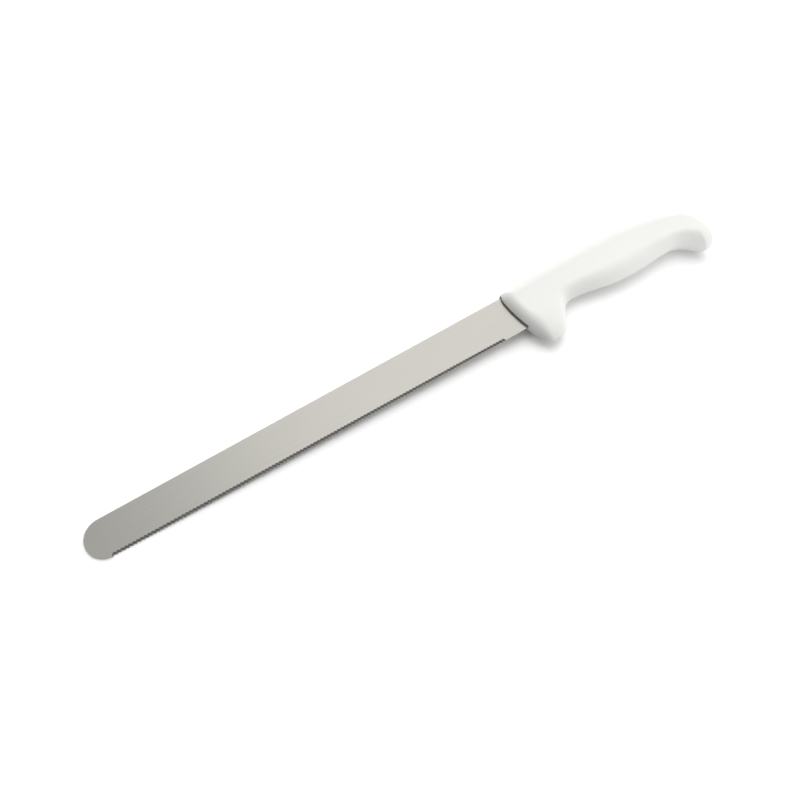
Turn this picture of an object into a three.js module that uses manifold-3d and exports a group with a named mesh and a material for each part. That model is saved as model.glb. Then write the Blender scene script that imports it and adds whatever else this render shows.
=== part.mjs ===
// Serrated cake and pastry knife, lying on its side as on a worktop.
// Two pieces: a stamped steel blade with a hidden tang, and a white handle moulded round the tang.
// Millimetres. +X runs from the tip to the butt, +Y from the cutting edge to the spine, +Z up.
// The origin is the middle of the knife's box, on the surface that it lies on.

import * as THREE from 'three';
import { mergeVertices } from 'three/addons/utils/BufferGeometryUtils.js';
import Module from 'manifold-3d';

// Blade
const BLADE_LENGTH = 254; // from the end of the round tip to the front of the handle
const BLADE_THICKNESS = 1;
const TIP_RADIUS = 10.5; // the tip is half round
const HEEL_WIDTH = 23.9; // from the spine to the plain edge, at the handle

// Teeth, ground through from the upper face
const TOOTH_PITCH = 2;
const TOOTH_DEPTH = 0.65; // from the points of the teeth to the bottom of the gullets, on the upper face
const GULLET_INSET = 0.45; // how far in from the plain edge the gullets reach on the lower face
const BEVEL_RUN = 1; // how much further in they reach on the upper face
const TIP_LAND = 10; // plain edge between the end of the tip and the first tooth
const HEEL_LAND = 14; // plain edge between the last tooth and the handle

// Tang, hidden in the handle
const SHOULDER_DEPTH = 7; // how far the blade goes into the handle at its full width
const TANG_WIDTH = 12;
const TANG_FLOOR = 5; // plastic between the tang and the finger groove
const TANG_COVER = 34; // plastic between the end of the tang and the butt
const TANG_HOLE_RADIUS = 3;
const TANG_HOLE_COUNT = 3;
const TANG_CLEARANCE = 0.3; // between the steel and the plastic, all round
const MOUTH_RELIEF = 1.6; // the same where the blade leaves the handle, above and below the steel
const MOUTH_DEPTH = 2.5; // how far back the wider mouth goes

// Handle outline from the side: backs are measured from the front of the handle,
// drops and rises from the line of the spine
const HANDLE_LENGTH = 131.5;
const HANDLE_THICKNESS = 19; // at the butt; the sides draw in towards the blade
const BROW_BACK = 1.5; // where the top starts behind its rounded front corner
const BROW_RISE = 2.2;
const FRONT_LEAD = 1.9; // how far the upper front reaches out over the blade
const FRONT_DROP = 4;
const GUARD_BACK = 9.5;
const GUARD_REACH = 14.4; // how far the finger guard hangs below the plain edge
const GROOVE_BACK = 35;
const GROOVE_DROP = 21.6;
const BELLY_BACK = 76;
const BELLY_DROP = 26.8;
const WAIST_COVER = 26; // from the waist before the hook to the butt
const WAIST_DROP = 25.2;
const HOOK_COVER = 9; // from the lowest point of the hook to the butt
const HOOK_DROP = 36.6;
const BUTT_DROP = 29.5; // the rearmost point
const CREST_BACK = 55;
const CREST_RISE = 3.2;

// Handle section: the sides rise from an edge at the parting line, in the middle plane, and round over
// to a flat on either face
const FLAT_SHARE = 0.4; // share of the way from the core line to the outline that is flat
const ROUND_START = THREE.MathUtils.degToRad(20); // a quarter round less this much makes each side
const CORE_FRONT = 10; // where the core line of the flats starts and stops
const CORE_COVER = 12;

// Fineness of the faces
const OUTLINE_STEP = 3;
const ROUND_STEPS = 6;
const GULLET_STEPS = 4;
const TIP_STEPS = 28;
const CUT_MARGIN = 1;

const wasm = await Module();
wasm.setup();

// A closed solid for cutting, from any closed geometry.
function toSolid(geometry) {
  const bare = geometry.index ? geometry.toNonIndexed() : geometry.clone();
  bare.deleteAttribute('normal');
  bare.deleteAttribute('uv');
  const merged = mergeVertices(bare);
  const vertProperties = new Float32Array(merged.attributes.position.array);
  const triVerts = new Uint32Array(merged.index.array);
  return new wasm.Manifold(new wasm.Mesh({ numProp: 3, vertProperties, triVerts }));
}

function toGeometry(solid) {
  const mesh = solid.getMesh();
  const geometry = new THREE.BufferGeometry();
  geometry.setAttribute('position', new THREE.BufferAttribute(mesh.vertProperties, 3));
  geometry.setIndex(new THREE.BufferAttribute(mesh.triVerts, 1));
  geometry.computeVertexNormals();
  return geometry;
}

// A plate of the given outline, with its middle plane at height 0.
function plate(shape, thickness, curveSegments) {
  const geometry = new THREE.ExtrudeGeometry(shape, { depth: thickness, bevelEnabled: false, curveSegments });
  return geometry.translate(0, 0, -thickness / 2);
}

// Places along the knife, with x = 0 at the front of the handle and y = 0 on the spine
const guardDrop = HEEL_WIDTH + GUARD_REACH;
const tangEnd = HANDLE_LENGTH - TANG_COVER;
const tangMiddle = -(GROOVE_DROP - TANG_FLOOR - TANG_WIDTH / 2);
const coreRear = HANDLE_LENGTH - CORE_COVER;
const gripMiddle = (GROOVE_DROP - BROW_RISE) / 2;

// The knife rests on the flat side of its handle and on its tip, so the flats lean by this slope.
const restSlope = (HANDLE_THICKNESS - BLADE_THICKNESS) / 2 / (BLADE_LENGTH + HANDLE_LENGTH);

function halfThickness(x) {
  return BLADE_THICKNESS / 2 + (x + BLADE_LENGTH) * restSlope;
}

// The plain edge is the line from the heel that just touches the round of the tip.
const tipCentre = new THREE.Vector2(TIP_RADIUS - BLADE_LENGTH, -TIP_RADIUS);
const heel = new THREE.Vector2(0, -HEEL_WIDTH);
const tipToHeel = heel.clone().sub(tipCentre);
const edgeAngle = Math.atan2(tipToHeel.y, tipToHeel.x) - Math.acos(TIP_RADIUS / tipToHeel.length());
const edgeOut = new THREE.Vector2(Math.cos(edgeAngle), Math.sin(edgeAngle));
const edgeStart = tipCentre.clone().addScaledVector(edgeOut, TIP_RADIUS);
const edgeLength = edgeStart.distanceTo(heel);

// Shoulders and tang, walked from the lower shoulder round to the upper one.
// grow is 0 for the steel, and the clearance for the pocket that the steel sits in.
function addTang(shape, grow) {
  const shoulder = SHOULDER_DEPTH + grow;
  const radius = TANG_WIDTH / 2 + grow;
  const endCentre = tangEnd - TANG_WIDTH / 2;
  shape.lineTo(shoulder, -HEEL_WIDTH - grow);
  shape.lineTo(shoulder, tangMiddle - radius);
  shape.absarc(endCentre, tangMiddle, radius, -Math.PI / 2, Math.PI / 2, false);
  shape.lineTo(shoulder, tangMiddle + radius);
  shape.lineTo(shoulder, grow);
  const holePitch = (tangEnd - SHOULDER_DEPTH) / TANG_HOLE_COUNT;
  for (let hole = 0; hole < TANG_HOLE_COUNT; hole += 1) {
    const back = SHOULDER_DEPTH + holePitch * (hole + 0.5);
    const rim = new THREE.Path();
    rim.absarc(back, tangMiddle, TANG_HOLE_RADIUS - grow, 0, Math.PI * 2, true);
    shape.holes.push(rim);
  }
}

// The grinding cut: a row of gullets, leaning so that it reaches further in on the upper face.
// On the lower face the points lie outside the plain edge, so short lands are left between the gullets.
function toothCut() {
  const last = edgeLength - HEEL_LAND;
  const count = Math.round((TIP_RADIUS - TIP_LAND + last) / TOOTH_PITCH);
  const first = last - count * TOOTH_PITCH;
  const points = GULLET_INSET - TOOTH_DEPTH;
  const outside = points - BEVEL_RUN - CUT_MARGIN;
  const row = new THREE.Shape();
  row.moveTo(last, outside);
  row.lineTo(last, points);
  for (let tooth = count - 1; tooth >= 0; tooth -= 1) {
    const end = first + tooth * TOOTH_PITCH;
    row.quadraticCurveTo(end + TOOTH_PITCH / 2, points + 2 * TOOTH_DEPTH, end, points);
  }
  row.lineTo(first, outside);
  const cut = plate(row, BLADE_THICKNESS + 2 * CUT_MARGIN, GULLET_STEPS);
  const along = new THREE.Vector3(-edgeOut.y, edgeOut.x, 0);
  const inward = new THREE.Vector3(-edgeOut.x, -edgeOut.y, 0);
  const lean = inward.clone().multiplyScalar(BEVEL_RUN / BLADE_THICKNESS);
  lean.z = 1;
  const place = new THREE.Matrix4().makeBasis(along, inward, lean);
  const middle = inward.clone().multiplyScalar(BEVEL_RUN / 2);
  place.setPosition(edgeStart.x + middle.x, edgeStart.y + middle.y, 0);
  return cut.applyMatrix4(place);
}

// One strip of steel: half-round tip, tapering edge, shoulders and tang, with its teeth ground in.
function bladeGeometry() {
  const strip = new THREE.Shape();
  strip.moveTo(tipCentre.x, 0);
  strip.absarc(tipCentre.x, tipCentre.y, TIP_RADIUS, Math.PI / 2, edgeAngle + Math.PI * 2, false);
  strip.lineTo(heel.x, heel.y);
  addTang(strip, 0);
  const blank = toSolid(plate(strip, BLADE_THICKNESS, TIP_STEPS));
  return toGeometry(blank.subtract(toSolid(toothCut())));
}

// The slot and pocket that the heel and the tang fill, with posts left standing for the holes.
function pocketGeometry() {
  const pocket = new THREE.Shape();
  const mouth = -FRONT_LEAD - CUT_MARGIN;
  pocket.moveTo(mouth, TANG_CLEARANCE);
  pocket.lineTo(mouth, -HEEL_WIDTH - TANG_CLEARANCE);
  addTang(pocket, TANG_CLEARANCE);
  return plate(pocket, BLADE_THICKNESS + 2 * TANG_CLEARANCE, TIP_STEPS);
}

// The mouth of the slot stands clear of the blade, so that a dark line shows round the steel.
function mouthGeometry() {
  const width = HEEL_WIDTH + 2 * TANG_CLEARANCE;
  const depth = FRONT_LEAD + CUT_MARGIN + MOUTH_DEPTH;
  const mouth = new THREE.BoxGeometry(depth, width, BLADE_THICKNESS + 2 * MOUTH_RELIEF);
  return mouth.translate(MOUTH_DEPTH - depth / 2, TANG_CLEARANCE - width / 2, 0);
}

// The side outline goes from one turning point to the next. At each of them it runs level or upright,
// and fullness says how far it keeps that direction.
function handleOutline() {
  const front = { x: -FRONT_LEAD, y: -FRONT_DROP, upright: true };
  const turns = [
    { x: GUARD_BACK, y: -guardDrop, fullness: [0.5, 0.5] },
    { x: GROOVE_BACK, y: -GROOVE_DROP, fullness: [0.66, 0.52] },
    { x: BELLY_BACK, y: -BELLY_DROP, fullness: [0.3, 0.5] },
    { x: HANDLE_LENGTH - WAIST_COVER, y: -WAIST_DROP, fullness: [0.4, 0.4] },
    { x: HANDLE_LENGTH - HOOK_COVER, y: -HOOK_DROP, fullness: [0.6, 0.15] },
    { x: HANDLE_LENGTH, y: -BUTT_DROP, upright: true, fullness: [0.55, 0.55] },
    { x: CREST_BACK, y: CREST_RISE, fullness: [0.75, 0.7] },
    { x: BROW_BACK, y: BROW_RISE, fullness: [0.4, 0.3] },
    { ...front, fullness: [0.55, 0.55] },
  ];
  const points = [];
  let from = front;
  for (const to of turns) {
    const [leaving, arriving] = to.fullness;
    const rise = to.y - from.y;
    const run = to.x - from.x;
    const start = new THREE.Vector2(from.x, from.y);
    const end = new THREE.Vector2(to.x, to.y);
    const away = start.clone();
    away.add(from.upright ? new THREE.Vector2(0, rise * leaving) : new THREE.Vector2(run * leaving, 0));
    const towards = end.clone();
    towards.sub(to.upright ? new THREE.Vector2(0, rise * arriving) : new THREE.Vector2(run * arriving, 0));
    const curve = new THREE.CubicBezierCurve(start, away, towards, end);
    const steps = Math.ceil(curve.getLength() / OUTLINE_STEP);
    points.push(...curve.getSpacedPoints(steps).slice(0, -1));
    from = to;
  }
  return points;
}

// Middle of the flats: nearly level along the grip, then sinking into the hooked butt.
function corePoint(outlinePoint) {
  const x = THREE.MathUtils.clamp(outlinePoint.x, CORE_FRONT, coreRear);
  const share = (x - CORE_FRONT) / (coreRear - CORE_FRONT);
  return new THREE.Vector2(x, -gripMiddle - (HOOK_DROP / 2 - gripMiddle) * share ** 3);
}

// One ring of the section, counted from the parting line: its way out from the flat to the outline,
// and its height as a share of the half thickness.
function sectionRing(ring) {
  const angle = ROUND_START + (Math.PI / 2 - ROUND_START) * (Math.abs(ring) / ROUND_STEPS);
  const rise = (Math.sin(angle) - Math.sin(ROUND_START)) / (1 - Math.sin(ROUND_START));
  return { out: Math.cos(angle) / Math.cos(ROUND_START), height: Math.sign(ring) * rise };
}

// The moulded body: rings of the outline, drawn in towards the core line as they leave the parting line.
function handleBody() {
  const outline = handleOutline();
  const count = outline.length;
  const positions = [];
  const triangles = [];
  let flat = [];
  for (let ring = -ROUND_STEPS; ring <= ROUND_STEPS; ring += 1) {
    const { out, height } = sectionRing(ring);
    const reach = FLAT_SHARE + (1 - FLAT_SHARE) * out;
    flat = outline.map((point) => corePoint(point).lerp(point, reach));
    for (const { x, y } of flat) {
      positions.push(x, y, halfThickness(x) * height);
    }
  }
  const topRing = 2 * ROUND_STEPS * count;
  for (let lower = 0; lower < topRing; lower += count) {
    for (let i = 0; i < count; i += 1) {
      const next = (i + 1) % count;
      triangles.push(lower + i, lower + next, lower + count + next);
      triangles.push(lower + i, lower + count + next, lower + count + i);
    }
  }
  for (const [a, b, c] of THREE.ShapeUtils.triangulateShape(flat, [])) {
    triangles.push(topRing + a, topRing + b, topRing + c);
    triangles.push(c, b, a);
  }
  const geometry = new THREE.BufferGeometry();
  geometry.setAttribute('position', new THREE.Float32BufferAttribute(positions, 3));
  geometry.setIndex(triangles);
  return geometry;
}

function handleGeometry() {
  const hollow = toSolid(pocketGeometry()).add(toSolid(mouthGeometry()));
  return toGeometry(toSolid(handleBody()).subtract(hollow));
}

const steel = new THREE.MeshStandardMaterial({ color: '#c3c3bf', metalness: 1, roughness: 0.36 });
const blade = new THREE.Mesh(bladeGeometry(), steel);
blade.name = 'blade';

const polypropylene = new THREE.MeshStandardMaterial({ color: '#f1f1ed', metalness: 0, roughness: 0.42 });
const handle = new THREE.Mesh(handleGeometry(), polypropylene);
handle.name = 'handle';

// Lay the knife down: the lower flat of the handle is level, and the tip touches the same surface.
const knife = new THREE.Group();
knife.add(blade, handle);
knife.rotation.y = -Math.atan(restSlope);
const box = new THREE.Box3().setFromObject(knife, true);
const footing = box.getCenter(new THREE.Vector3()).setZ(box.min.z);
knife.position.sub(footing);

const part = new THREE.Group();
part.add(knife);

export default part;
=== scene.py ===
import math

import bmesh
import bpy
from mathutils import Matrix, Vector


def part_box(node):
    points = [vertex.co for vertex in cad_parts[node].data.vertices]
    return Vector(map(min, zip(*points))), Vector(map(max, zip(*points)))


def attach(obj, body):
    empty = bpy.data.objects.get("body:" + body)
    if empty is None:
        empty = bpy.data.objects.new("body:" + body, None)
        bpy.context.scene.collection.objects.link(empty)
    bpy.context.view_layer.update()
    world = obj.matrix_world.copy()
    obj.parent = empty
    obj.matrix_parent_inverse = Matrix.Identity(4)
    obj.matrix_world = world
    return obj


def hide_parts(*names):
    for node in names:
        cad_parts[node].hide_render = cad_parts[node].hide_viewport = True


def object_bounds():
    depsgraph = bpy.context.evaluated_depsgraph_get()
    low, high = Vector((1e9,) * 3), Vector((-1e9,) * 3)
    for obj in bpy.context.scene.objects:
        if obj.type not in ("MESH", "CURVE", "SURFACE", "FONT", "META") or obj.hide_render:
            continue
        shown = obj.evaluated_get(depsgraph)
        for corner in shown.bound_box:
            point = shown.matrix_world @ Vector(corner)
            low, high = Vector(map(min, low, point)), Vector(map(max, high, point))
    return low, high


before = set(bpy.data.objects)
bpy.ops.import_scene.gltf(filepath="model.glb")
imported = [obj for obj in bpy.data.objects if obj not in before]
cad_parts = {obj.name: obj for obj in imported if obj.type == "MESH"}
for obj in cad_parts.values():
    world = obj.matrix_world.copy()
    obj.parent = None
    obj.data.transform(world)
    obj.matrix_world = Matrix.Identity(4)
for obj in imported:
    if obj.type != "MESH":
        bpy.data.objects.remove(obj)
cad_low, cad_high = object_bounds()

# Blade: one strip of stainless steel with a half-round tip, punched out with its tang, then ground
# satin along its length. A ribbed wheel grinds the row of teeth into the edge from the upper face.
MM = 0.001
BLADE_LENGTH = 254 * MM
BLADE_THICKNESS = 1 * MM
TIP_RADIUS = 10.5 * MM
TIP_STEPS = 24
HEEL_WIDTH = 23.9 * MM
PUNCHED_EDGE = 0.12 * MM
PUNCHED_EDGE_STEPS = 2
PUNCHED_CORNER = math.radians(60)

SHOULDER_DEPTH = 7 * MM
TANG_END = 97.5 * MM
TANG_END_STEPS = 12
TANG_WIDTH = 12 * MM
TANG_MIDDLE = -10.6 * MM
TANG_HOLE_RADIUS = 3 * MM
TANG_HOLES = 3
PUNCH_LENGTH = 4 * BLADE_THICKNESS

TOOTH_PITCH = 2 * MM
TOOTH_COUNT = 115
TOOTH_DEPTH = 0.65 * MM
GULLET_INSET = 0.45 * MM
BEVEL_RUN = 1 * MM
HEEL_LAND = 14 * MM
RIB_LENGTH = 6 * BLADE_THICKNESS
RIB_SIDES = 48
WHEEL_PASSES = 2

# The pieces are modelled with x = 0 at the front of the handle, y = 0 on the spine and z = 0 in the
# middle of the steel, and then laid down: the tip and the flat side of the handle touch the worktop.
HANDLE_LENGTH = 131.5 * MM
HANDLE_THICKNESS = 19 * MM
rest_slope = (HANDLE_THICKNESS - BLADE_THICKNESS) / 2 / (BLADE_LENGTH + HANDLE_LENGTH)
lean = math.atan(rest_slope)
half_blade = BLADE_THICKNESS / 2
front_of_handle = Vector((
    cad_low.x + BLADE_LENGTH * math.cos(lean) + half_blade * math.sin(lean),
    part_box("blade")[1].y,
    BLADE_LENGTH * math.sin(lean) + half_blade * math.cos(lean),
))
lay_down = Matrix.Translation(front_of_handle) @ Matrix.Rotation(-lean, 4, "Y")


def start_piece(name, add, **settings):
    """Adds a primitive with nothing else selected, and names it."""
    bpy.ops.object.select_all(action="DESELECT")
    add(**settings)
    piece = bpy.context.object
    piece.name = name
    piece.data.name = name
    return piece


def pick(piece):
    """Makes a piece the only one selected, and the active one."""
    bpy.ops.object.select_all(action="DESELECT")
    piece.select_set(True)
    bpy.context.view_layer.objects.active = piece


def select(piece, kind, test):
    """In edit mode, selects the verts, edges or faces whose middle passes the test, and nothing else."""
    bpy.ops.mesh.select_mode(type=kind)
    bpy.ops.mesh.select_all(action="DESELECT")
    mesh = bmesh.from_edit_mesh(piece.data)
    for part in {"VERT": mesh.verts, "EDGE": mesh.edges, "FACE": mesh.faces}[kind]:
        if kind == "VERT":
            middle = part.co
        else:
            middle = sum((corner.co for corner in part.verts), Vector()) / len(part.verts)
        if test(middle):
            part.select_set(True)
    mesh.select_flush_mode()
    bmesh.update_edit_mesh(piece.data)


SAME_PLACE = 0.01 * MM


def near(value, target):
    return abs(value - target) < SAME_PLACE


def finish_modifier(piece, kind, **settings):
    """Adds a modifier with its settings, and applies it."""
    modifier = piece.modifiers.new(kind, kind)
    for name, value in settings.items():
        setattr(modifier, name, value)
    bpy.context.view_layer.objects.active = piece
    bpy.ops.object.modifier_apply(modifier=modifier.name)


def cut_away(piece, tool):
    """Cuts the tool out of a piece. The new faces take the tool's material."""
    finish_modifier(piece, "BOOLEAN", object=tool, operation="DIFFERENCE", solver="EXACT",
                    material_mode="TRANSFER")
    bpy.data.objects.remove(tool)


# The plain edge runs from the heel and just touches the round of the tip.
tip_centre = Vector((TIP_RADIUS - BLADE_LENGTH, -TIP_RADIUS, 0))
to_heel = Vector((0, -HEEL_WIDTH, 0)) - tip_centre
edge_fall = math.atan2(-to_heel.y, to_heel.x) - math.asin(TIP_RADIUS / to_heel.length)
tip_drop = HEEL_WIDTH - BLADE_LENGTH * math.tan(edge_fall)

blade = start_piece("blade_strip", bpy.ops.mesh.primitive_plane_add, size=1)
bpy.ops.object.mode_set(mode="EDIT")
bpy.ops.transform.resize(value=(BLADE_LENGTH, HEEL_WIDTH, 1))
bpy.ops.transform.translate(value=(-BLADE_LENGTH / 2, -HEEL_WIDTH / 2, 0))
select(blade, "VERT", lambda p: p.x < -BLADE_LENGTH / 2 and p.y < -HEEL_WIDTH / 2)
bpy.ops.transform.translate(value=(0, HEEL_WIDTH - tip_drop, 0))
select(blade, "VERT", lambda p: near(p.x, -BLADE_LENGTH) and near(p.y, 0))
bpy.ops.mesh.bevel(affect="VERTICES", offset=TIP_RADIUS, segments=TIP_STEPS)
select(blade, "VERT", lambda p: near(p.x, -BLADE_LENGTH) and near(p.y, -tip_drop))
bpy.ops.mesh.bevel(affect="VERTICES", offset=tip_drop - TIP_RADIUS, segments=TIP_STEPS)

# The shoulders and the narrower tang run on from the heel.
select(blade, "EDGE", lambda p: near(p.x, 0))
bpy.ops.mesh.extrude_edges_move(TRANSFORM_OT_translate={"value": (SHOULDER_DEPTH, 0, 0)})
for side in (TANG_MIDDLE - TANG_WIDTH / 2, TANG_MIDDLE + TANG_WIDTH / 2):
    select(blade, "FACE", lambda p: p.x > 0)
    bpy.ops.mesh.bisect(plane_co=(0, side, 0), plane_no=(0, 1, 0))
select(blade, "EDGE", lambda p: near(p.x, SHOULDER_DEPTH) and near(p.y, TANG_MIDDLE))
bpy.ops.mesh.extrude_edges_move(TRANSFORM_OT_translate={"value": (TANG_END - SHOULDER_DEPTH, 0, 0)})
select(blade, "VERT", lambda p: near(p.x, TANG_END))
bpy.ops.mesh.bevel(affect="VERTICES", offset=TANG_WIDTH / 2, segments=TANG_END_STEPS)
bpy.ops.mesh.select_all(action="SELECT")
bpy.ops.mesh.remove_doubles(threshold=SAME_PLACE)
bpy.ops.object.mode_set(mode="OBJECT")
finish_modifier(blade, "SOLIDIFY", thickness=BLADE_THICKNESS, offset=0)

hole_pitch = (TANG_END - SHOULDER_DEPTH) / TANG_HOLES
for hole in range(TANG_HOLES):
    back = SHOULDER_DEPTH + hole_pitch * (hole + 0.5)
    punch = start_piece("punch", bpy.ops.mesh.primitive_cylinder_add, radius=TANG_HOLE_RADIUS,
                        depth=PUNCH_LENGTH, location=(back, TANG_MIDDLE, 0))
    cut_away(blade, punch)

# A copy of the plain punched shape is kept to mould the handle round.
tang_shape = blade.copy()
tang_shape.data = blade.data.copy()
bpy.context.collection.objects.link(tang_shape)

pick(blade)
bpy.ops.object.mode_set(mode="EDIT")
bpy.ops.mesh.select_mode(type="EDGE")
bpy.ops.mesh.select_all(action="DESELECT")
bpy.ops.mesh.edges_select_sharp(sharpness=PUNCHED_CORNER)
bpy.ops.mesh.bevel(offset=PUNCHED_EDGE, segments=PUNCHED_EDGE_STEPS)
bpy.ops.object.mode_set(mode="OBJECT")


def linear(colour):
    """sRGB hex to linear RGBA."""
    values = [int(colour[i:i + 2], 16) / 255 for i in (1, 3, 5)]
    return [v / 12.92 if v <= 0.04045 else ((v + 0.055) / 1.055) ** 2.4 for v in values] + [1]


def add_node(tree, kind, inputs, **settings):
    """Adds a node with its settings; an input is a value, or a socket to link from."""
    node = tree.nodes.new("ShaderNode" + kind)
    for name, value in settings.items():
        setattr(node, name, value)
    for name, value in inputs.items():
        if isinstance(value, bpy.types.NodeSocket):
            tree.links.new(value, node.inputs[name])
        else:
            node.inputs[name].default_value = value
    return node


def start_material(name):
    material = bpy.data.materials.new(name)
    material.use_nodes = True
    material.node_tree.nodes.clear()
    return material, material.node_tree


# Stainless steel, satin ground lengthwise: an even grey sheen, drawn out in faint lines along the blade.
# The real lines are about 0.05 mm wide; they are drawn ten times as wide so that they show.
STEEL_COLOUR = "#cdcbc4"
STEEL_ROUGHNESS = (0.27, 0.35)
GRIND_LINE = 0.5 * MM
GRIND_STROKE = 60 * MM
GRIND_DEPTH = 0.01 * MM
GRIND_BUMP = 0.04
NOISE_LOW = 0.3
NOISE_HIGH = 0.7
satin_steel, tree = start_material("satin_stainless_steel")
place = add_node(tree, "TexCoord", {})
strokes = add_node(tree, "Mapping", {
    "Vector": place.outputs["Object"], "Scale": (1 / GRIND_STROKE, 1 / GRIND_LINE, 1 / GRIND_LINE)})
lines = add_node(tree, "TexNoise", {"Vector": strokes.outputs["Vector"], "Scale": 1, "Detail": 3})
sheen = add_node(tree, "MapRange", {
    "Value": lines.outputs["Fac"], "From Min": NOISE_LOW, "From Max": NOISE_HIGH,
    "To Min": STEEL_ROUGHNESS[0], "To Max": STEEL_ROUGHNESS[1]})
scratch = add_node(tree, "Bump", {
    "Height": lines.outputs["Fac"], "Strength": GRIND_BUMP, "Distance": GRIND_DEPTH})
steel = add_node(tree, "BsdfPrincipled", {
    "Base Color": linear(STEEL_COLOUR), "Metallic": 1, "Roughness": sheen.outputs["Result"],
    "Normal": scratch.outputs["Normal"]})
add_node(tree, "OutputMaterial", {"Surface": steel.outputs["BSDF"]})
blade.data.materials.clear()
blade.data.materials.append(satin_steel)

# The gullets are painted a darker, duller grey than the blade: painted shade for the dark they mirror.
# Their roughness varies with the coarser wheel's grit, about 0.1 mm.
GULLET_PAINTED_SHADE_COLOUR = "#76746f"
GULLET_ROUGHNESS = (0.4, 0.6)
WHEEL_GRIT = 0.1 * MM
gullet_painted_shade_steel, tree = start_material("gullet_steel_with_painted_shade")
place = add_node(tree, "TexCoord", {})
grit = add_node(tree, "TexNoise", {
    "Vector": place.outputs["Object"], "Scale": 1 / WHEEL_GRIT, "Detail": 2})
dullness = add_node(tree, "MapRange", {
    "Value": grit.outputs["Fac"], "To Min": GULLET_ROUGHNESS[0], "To Max": GULLET_ROUGHNESS[1]})
# The base colour here is painted shade, darker than the blade's own steel.
steel = add_node(tree, "BsdfPrincipled", {
    "Base Color": linear(GULLET_PAINTED_SHADE_COLOUR), "Metallic": 1, "Roughness": dullness.outputs["Result"]})
add_node(tree, "OutputMaterial", {"Surface": steel.outputs["BSDF"]})

# The wheel's ribs lean so that each gullet reaches further in on the upper face. Neighbouring ribs
# overlap, so the wheel works in two passes, on every second gullet at a time.
along = Vector((math.cos(edge_fall), -math.sin(edge_fall), 0))
inward = Vector((math.sin(edge_fall), math.cos(edge_fall), 0))
rib = (inward * BEVEL_RUN + Vector((0, 0, BLADE_THICKNESS))).normalized()
rib_turn = Matrix((along, rib.cross(along), rib)).transposed().to_4x4()
rib_height = TOOTH_DEPTH * rib.z
rib_radius = ((TOOTH_PITCH / 2) ** 2 + rib_height ** 2) / (2 * rib_height)
gullet_reach = GULLET_INSET + BEVEL_RUN / 2 - rib_radius / rib.z
heel_corner = Vector((0, -HEEL_WIDTH, 0))
last_gullet = heel_corner - along * (HEEL_LAND + TOOTH_PITCH / 2) + inward * gullet_reach
for turn in range(WHEEL_PASSES):
    wheel = start_piece("wheel", bpy.ops.mesh.primitive_cylinder_add, vertices=RIB_SIDES,
                        radius=rib_radius, depth=RIB_LENGTH)
    # The cut gullet faces take this material, with its painted shade.
    wheel.data.materials.append(gullet_painted_shade_steel)
    wheel.matrix_world = Matrix.Translation(last_gullet - along * TOOTH_PITCH * turn) @ rib_turn
    bpy.ops.object.transform_apply()
    finish_modifier(wheel, "ARRAY", count=(TOOTH_COUNT + WHEEL_PASSES - 1 - turn) // WHEEL_PASSES,
                    use_relative_offset=False, use_constant_offset=True,
                    constant_offset_displace=along * -WHEEL_PASSES * TOOTH_PITCH)
    cut_away(blade, wheel)

SMOOTH_UP_TO = math.radians(20)


def lay(piece):
    """Lays a finished piece down in its place, with its place in its mesh."""
    pick(piece)
    piece.matrix_world = lay_down
    bpy.ops.object.transform_apply()
    bpy.ops.object.shade_smooth_by_angle(angle=SMOOTH_UP_TO)


lay(blade)
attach(blade, "root")
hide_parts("blade")


# Handle: white polypropylene, moulded in one shot round the tang, so no rivets show. Its sides rise from
# the parting line of the mould and round over to a flat on either face; a finger guard hangs in front and
# a hook at the butt, and the slot is relieved where the blade comes out.
FLAT_SHARE = 0.4
ROUND_START = math.radians(20)
PARTING_ROUND = 0.3 * MM
PARTING_STEPS = 3
PARTING_CORNER = math.radians(15)
CORE_FRONT = 10 * MM
CORE_COVER = 12 * MM
CORE_BEND = 3
GRIP_MIDDLE = -9.7 * MM
HOOK_MIDDLE = -18.3 * MM
LOOP_STEPS = 64
ROUND_STEPS = 12
LAND_BORDER = 0.3 * MM
TANG_CLEARANCE = 0.3 * MM
MOUTH_RELIEF = 1.6 * MM
MOUTH_DEPTH = 2.5 * MM
MOUTH_TOOL_LENGTH = 4 * MOUTH_DEPTH

# The side outline's turning points in mm: where it runs level or upright, and how far it keeps that
# direction before and after the point, as shares of the way to the next one.
butt = HANDLE_LENGTH / MM
TURNS = [
    ((-1.9, -4), "upright", 0.55, 0.5),  # front
    ((9.5, -38.3), "level", 0.5, 0.66),  # finger guard
    ((35, -21.6), "level", 0.52, 0.3),  # finger groove
    ((76, -26.8), "level", 0.5, 0.4),  # belly
    ((butt - 26, -25.2), "level", 0.4, 0.6),  # waist before the hook
    ((butt - 9, -36.6), "level", 0.15, 0.55),  # hook
    ((butt, -29.5), "upright", 0.55, 0.75),  # butt
    ((55, 3.2), "level", 0.7, 0.4),  # crest
    ((1.5, 2.2), "level", 0.3, 0.55),  # brow
]
core_rear = HANDLE_LENGTH - CORE_COVER


def drawn_in(point, ring):
    """A point of the outline, moved in towards the core line on a ring that is counted from the parting."""
    angle = ROUND_START + (math.pi / 2 - ROUND_START) * abs(ring) / ROUND_STEPS
    out = math.cos(angle) / math.cos(ROUND_START)
    rise = (math.sin(angle) - math.sin(ROUND_START)) / (1 - math.sin(ROUND_START))
    x = min(max(point.x, CORE_FRONT), core_rear)
    share = (x - CORE_FRONT) / (core_rear - CORE_FRONT)
    core = Vector((x, GRIP_MIDDLE + (HOOK_MIDDLE - GRIP_MIDDLE) * share ** CORE_BEND, 0))
    place = core.lerp(point, FLAT_SHARE + (1 - FLAT_SHARE) * out)
    place.z = math.copysign(rise, ring) * (half_blade + (place.x + BLADE_LENGTH) * rest_slope)
    return place


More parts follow.
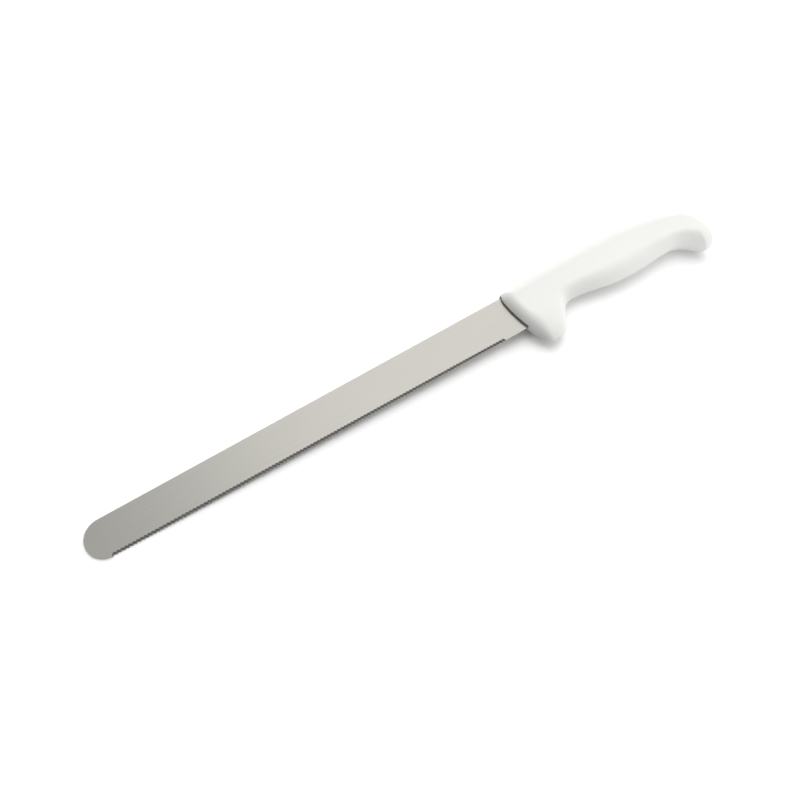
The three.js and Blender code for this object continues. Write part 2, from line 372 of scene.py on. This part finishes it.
outline = start_piece("outline", bpy.ops.curve.primitive_bezier_circle_add)
spline = outline.data.splines[0]
spline.bezier_points.add(len(TURNS) - len(spline.bezier_points))
outline.data.resolution_u = LOOP_STEPS
places = [Vector((*spot, 0)) * MM for spot, heading, before, after in TURNS]
for i, (spot, heading, before, after) in enumerate(TURNS):
    keep = Vector((0, 1, 0)) if heading == "upright" else Vector((1, 0, 0))
    point = spline.bezier_points[i]
    point.handle_left_type = "FREE"
    point.handle_right_type = "FREE"
    point.co = places[i]
    point.handle_left = places[i] + (places[i - 1] - places[i]) * keep * before
    point.handle_right = places[i] + (places[(i + 1) % len(places)] - places[i]) * keep * after
bpy.ops.object.convert(target="MESH")
outline = bpy.context.object

loops = []
for ring in range(-ROUND_STEPS, ROUND_STEPS + 1):
    loop = outline.copy()
    loop.data = outline.data.copy()
    bpy.context.collection.objects.link(loop)
    for corner in loop.data.vertices:
        corner.co = drawn_in(corner.co, ring)
    loops.append(loop)
bpy.data.objects.remove(outline)
bpy.ops.object.select_all(action="DESELECT")
for loop in loops:
    loop.select_set(True)
handle = loops[0]
bpy.context.view_layer.objects.active = handle
bpy.ops.object.join()
handle.name = "moulded_handle"
handle.data.name = "moulded_handle"
bpy.ops.object.mode_set(mode="EDIT")
bpy.ops.mesh.select_all(action="SELECT")
bpy.ops.mesh.bridge_edge_loops(type="SINGLE")
bpy.ops.mesh.select_all(action="DESELECT")
bpy.ops.mesh.edges_select_sharp(sharpness=PARTING_CORNER)
bpy.ops.mesh.bevel(offset=PARTING_ROUND, segments=PARTING_STEPS)
bpy.ops.mesh.select_all(action="DESELECT")
bpy.ops.mesh.select_non_manifold()
bpy.ops.mesh.edge_face_add()
bpy.ops.mesh.inset(thickness=LAND_BORDER)
bpy.ops.mesh.select_all(action="SELECT")
bpy.ops.mesh.normals_make_consistent(inside=False)
bpy.ops.object.mode_set(mode="OBJECT")

# The steel leaves its own shape in the plastic, with posts standing through the holes of the tang.
pick(tang_shape)
bpy.ops.object.mode_set(mode="EDIT")
bpy.ops.mesh.select_all(action="SELECT")
bpy.ops.transform.shrink_fatten(value=TANG_CLEARANCE, use_even_offset=True)
bpy.ops.object.mode_set(mode="OBJECT")
cut_away(handle, tang_shape)
mouth = start_piece("mouth", bpy.ops.mesh.primitive_cube_add, size=1)
mouth.dimensions = (MOUTH_TOOL_LENGTH, HEEL_WIDTH + 2 * TANG_CLEARANCE,
                    BLADE_THICKNESS + 2 * MOUTH_RELIEF)
mouth.location = (MOUTH_DEPTH - MOUTH_TOOL_LENGTH / 2, -HEEL_WIDTH / 2, 0)
bpy.ops.object.transform_apply()
cut_away(handle, mouth)

lay(handle)
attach(handle, "root")
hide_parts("handle")

# Natural white polypropylene from a fine-eroded mould: a soft sheen over a faint grain, a little light
# passing under the surface.
PLASTIC_COLOUR = "#e8e8e5"
PLASTIC_ROUGHNESS = (0.34, 0.44)
MOULD_GRAIN = 0.35 * MM
GRAIN_DEPTH = 0.02 * MM
GRAIN_BUMP = 0.15
FLOW_SIZE = 45 * MM
white_plastic, tree = start_material("moulded_white_polypropylene")
place = add_node(tree, "TexCoord", {})
grain = add_node(tree, "TexNoise", {
    "Vector": place.outputs["Object"], "Scale": 1 / MOULD_GRAIN, "Detail": 2})
flow = add_node(tree, "TexNoise", {
    "Vector": place.outputs["Object"], "Scale": 1 / FLOW_SIZE, "Detail": 2})
gloss = add_node(tree, "MapRange", {
    "Value": flow.outputs["Fac"], "From Min": NOISE_LOW, "From Max": NOISE_HIGH,
    "To Min": PLASTIC_ROUGHNESS[0], "To Max": PLASTIC_ROUGHNESS[1]})
pitting = add_node(tree, "Bump", {
    "Height": grain.outputs["Fac"], "Strength": GRAIN_BUMP, "Distance": GRAIN_DEPTH})
plastic = add_node(tree, "BsdfPrincipled", {
    "Base Color": linear(PLASTIC_COLOUR), "Roughness": gloss.outputs["Result"], "IOR": 1.49,
    "Subsurface Weight": 0.15, "Subsurface Radius": (1.0, 0.9, 0.8), "Subsurface Scale": 1 * MM,
    "Normal": pitting.outputs["Normal"]})
add_node(tree, "OutputMaterial", {"Surface": plastic.outputs["BSDF"]})
handle.data.materials.clear()
handle.data.materials.append(white_plastic)

# Worktop: a plain pale board that the knife lies on. It shows as white to the camera and in the steel,
# less the shadow of the knife, and gives a little less light than that back to the knife's underside.
WORKTOP_SIZE = 6
WORKTOP_COLOUR = "#d4d4d4"
WORKTOP_GLOW = 0.04
WHITE = (1, 1, 1, 1)
worktop = start_piece("worktop", bpy.ops.mesh.primitive_plane_add, size=WORKTOP_SIZE)
white_board, tree = start_material("white_board")
ray = add_node(tree, "LightPath", {})
seen = add_node(tree, "Math", {
    0: ray.outputs["Is Camera Ray"], 1: ray.outputs["Is Glossy Ray"]}, operation="MAXIMUM")
glow_level = add_node(tree, "Math", {0: seen.outputs[0], 1: WORKTOP_GLOW}, operation="MULTIPLY")
glow = add_node(tree, "Emission", {"Strength": glow_level.outputs[0]})
tone = add_node(tree, "MixRGB", {
    "Fac": seen.outputs[0], "Color1": linear(WORKTOP_COLOUR), "Color2": WHITE})
board = add_node(tree, "BsdfDiffuse", {"Color": tone.outputs[0]})
lit = add_node(tree, "AddShader", {0: board.outputs[0], 1: glow.outputs[0]})
add_node(tree, "OutputMaterial", {"Surface": lit.outputs[0]})
worktop.data.materials.append(white_board)

# Light: a pale room, brightest over the butt of the knife and, but for reflections, dim on the near side;
# a broad lamp behind the spine, so that the shadow falls towards the viewer; and a small low one for the
# near side of the handle.
ROOM_AT_BUTT = 1.1
ROOM_AT_TIP = 0.48
ROOM_NEAR = 0.1
ROOM_NEAR_IN_STEEL = 0.9
FAR_SIDE = Vector((0.45, 0.75, 0.5))
KEY_FROM = Vector((0.1, 0.5, 0.86))
KEY_STRENGTH = 1.6
KEY_WIDTH = math.radians(70)
FILL_PLACE = Vector((0.16, -0.15, 0.06))
FILL_AIM = Vector((0.13, -0.01, 0.01))
FILL_WIDTH = 0.1
FILL_HEIGHT = 0.05
FILL_STRENGTH = 0.12

# The room changes from one level to the other between these directions, given by their cosines.
TOWARDS_TIP = -0.16
TOWARDS_BUTT = 0.08
TOWARDS_NEAR = -0.1
TOWARDS_FAR = 0.5
room = bpy.data.worlds.new("pale_room")
bpy.context.scene.world = room
room.use_nodes = True
tree = room.node_tree
tree.nodes.clear()
way = add_node(tree, "TexCoord", {})
axes = add_node(tree, "SeparateXYZ", {"Vector": way.outputs["Generated"]})
lengthwise = add_node(tree, "MapRange", {
    "Value": axes.outputs["X"], "From Min": TOWARDS_TIP, "From Max": TOWARDS_BUTT,
    "To Min": ROOM_AT_TIP, "To Max": ROOM_AT_BUTT}, interpolation_type="SMOOTHSTEP")
towards = add_node(tree, "VectorMath", {
    0: way.outputs["Generated"], 1: FAR_SIDE}, operation="DOT_PRODUCT")
ray = add_node(tree, "LightPath", {})
near_side = add_node(tree, "MapRange", {
    "Value": ray.outputs["Is Glossy Ray"], "To Min": ROOM_NEAR, "To Max": ROOM_NEAR_IN_STEEL})
crosswise = add_node(tree, "MapRange", {
    "Value": towards.outputs["Value"], "From Min": TOWARDS_NEAR, "From Max": TOWARDS_FAR,
    "To Min": near_side.outputs["Result"], "To Max": 1}, interpolation_type="SMOOTHSTEP")
level = add_node(tree, "Math", {
    0: lengthwise.outputs["Result"], 1: crosswise.outputs["Result"]}, operation="MULTIPLY")
shade = add_node(tree, "Background", {"Color": WHITE, "Strength": level.outputs[0]})
white = add_node(tree, "Background", {"Color": WHITE, "Strength": 1})
shown = add_node(tree, "MixShader", {
    0: ray.outputs["Is Camera Ray"], 1: shade.outputs[0], 2: white.outputs[0]})
add_node(tree, "OutputWorld", {"Surface": shown.outputs[0]})
bpy.ops.object.light_add(type="SUN", rotation=KEY_FROM.to_track_quat("Z", "Y").to_euler())
key = bpy.context.object
key.name = "key"
key.data.energy = KEY_STRENGTH
key.data.angle = KEY_WIDTH
bpy.ops.object.light_add(type="AREA", location=FILL_PLACE,
                         rotation=(FILL_PLACE - FILL_AIM).to_track_quat("Z", "Y").to_euler())
fill = bpy.context.object
fill.name = "fill"
fill.data.shape = "RECTANGLE"
fill.data.size = FILL_WIDTH
fill.data.size_y = FILL_HEIGHT
fill.data.energy = FILL_STRENGTH
fill.visible_camera = False
for lamp in (key, fill):
    lamp.visible_glossy = False

# Camera: where the photograph was taken from, worked out in the frame of the blade.
VIEW_AIM = Vector((-82.63, -24.02, 0.5)) * MM
VIEW_DISTANCE = 409.8 * MM
VIEW_TILT = math.radians(63.37)
VIEW_TURN = math.radians(32.3)
NEAREST_SEEN = 10 * MM
LENS = 34.875
SENSOR_WIDTH = 36
bpy.ops.object.camera_add()
camera = bpy.context.object
camera.data.lens = LENS
camera.data.sensor_width = SENSOR_WIDTH
camera.data.clip_start = NEAREST_SEEN
swing = Matrix.Rotation(-VIEW_TURN, 4, "Z") @ Matrix.Rotation(math.pi / 2 - VIEW_TILT, 4, "X")
camera.matrix_world = (lay_down @ Matrix.Translation(VIEW_AIM) @ swing
                       @ Matrix.Translation((0, 0, VIEW_DISTANCE)))
bpy.context.scene.camera = camera
bpy.context.scene.view_settings.view_transform = "Standard"
